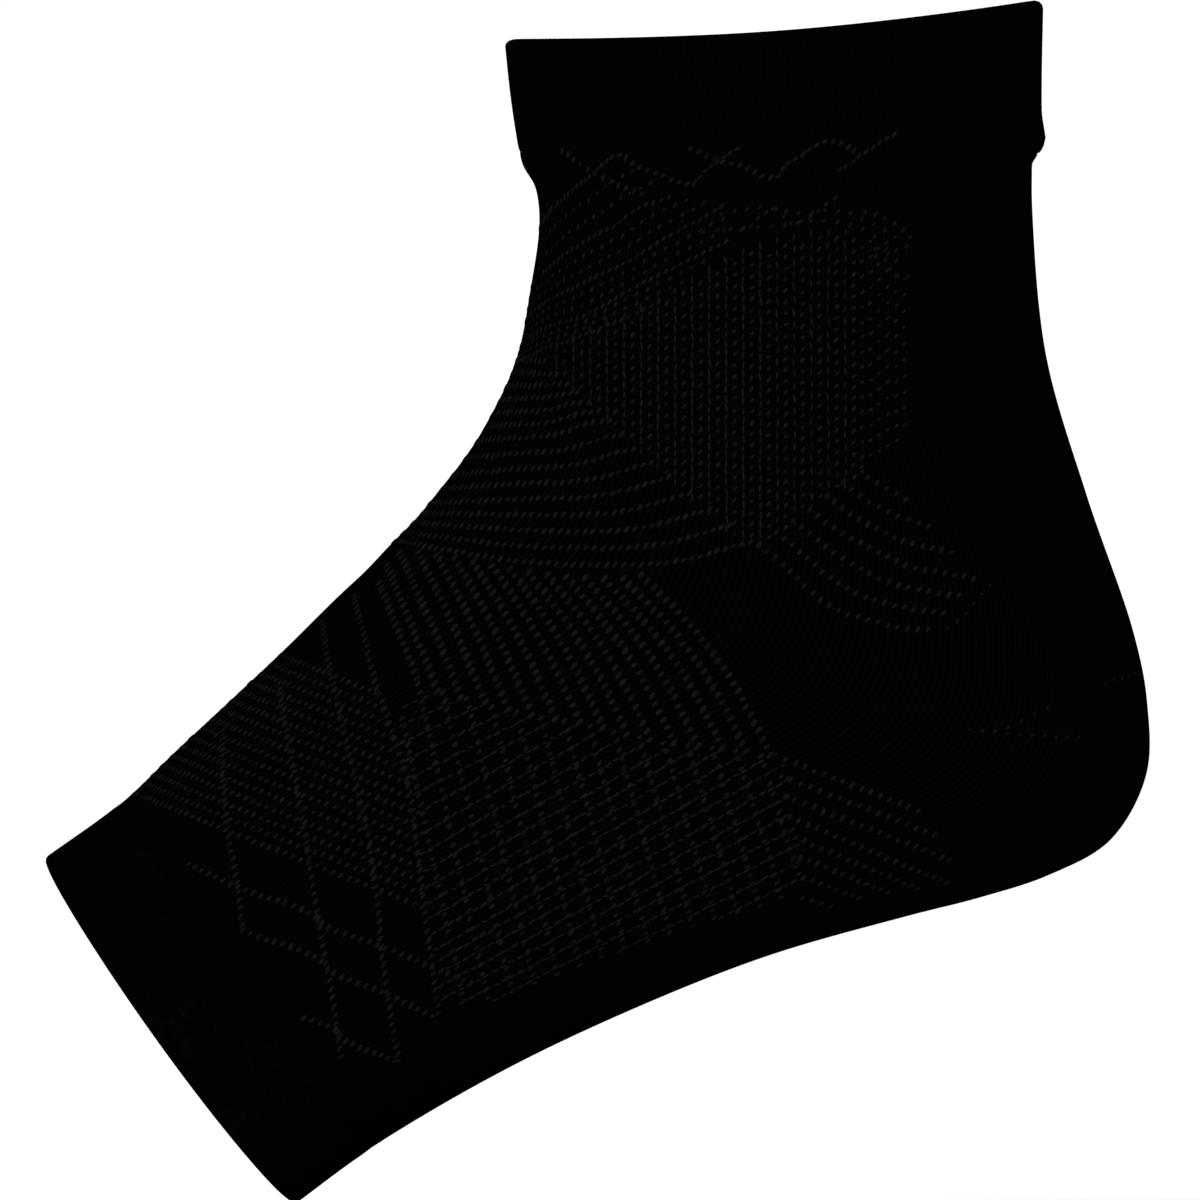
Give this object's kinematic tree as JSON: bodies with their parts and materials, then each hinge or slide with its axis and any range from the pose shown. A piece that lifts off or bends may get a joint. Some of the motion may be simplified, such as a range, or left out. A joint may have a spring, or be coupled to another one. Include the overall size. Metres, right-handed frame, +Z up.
{
  "type": "foot sleeve",
  "caption": "Open-toe knitted compression sleeve for the foot and ankle, in the form it has when worn, hollow from the ankle cuff round the heel pocket to the toe band.",
  "frame": {"origin": "heel seat: the inner face of the heel pocket under the heel, on the plane of symmetry", "axes": "+Z up along the leg, -X towards the toes and +X towards the back of the heel, +Y to one side; alike on both sides of Y = 0"},
  "size_m": [0.1932, 0.086, 0.2103],
  "materials": {
    "body_knit": "near-black fine-gauge knit with slightly lighter raised stitches in plain geometric panels",
    "cuff_knit": "near-black smooth doubled knit",
    "band_knit": "near-black elastic knit, faintly heathered"
  },
  "bodies": {
    "root": {"sleeve_body": "body_knit", "ankle_cuff": "cuff_knit", "toe_band": "band_knit"}
  },
  "joints": []
}
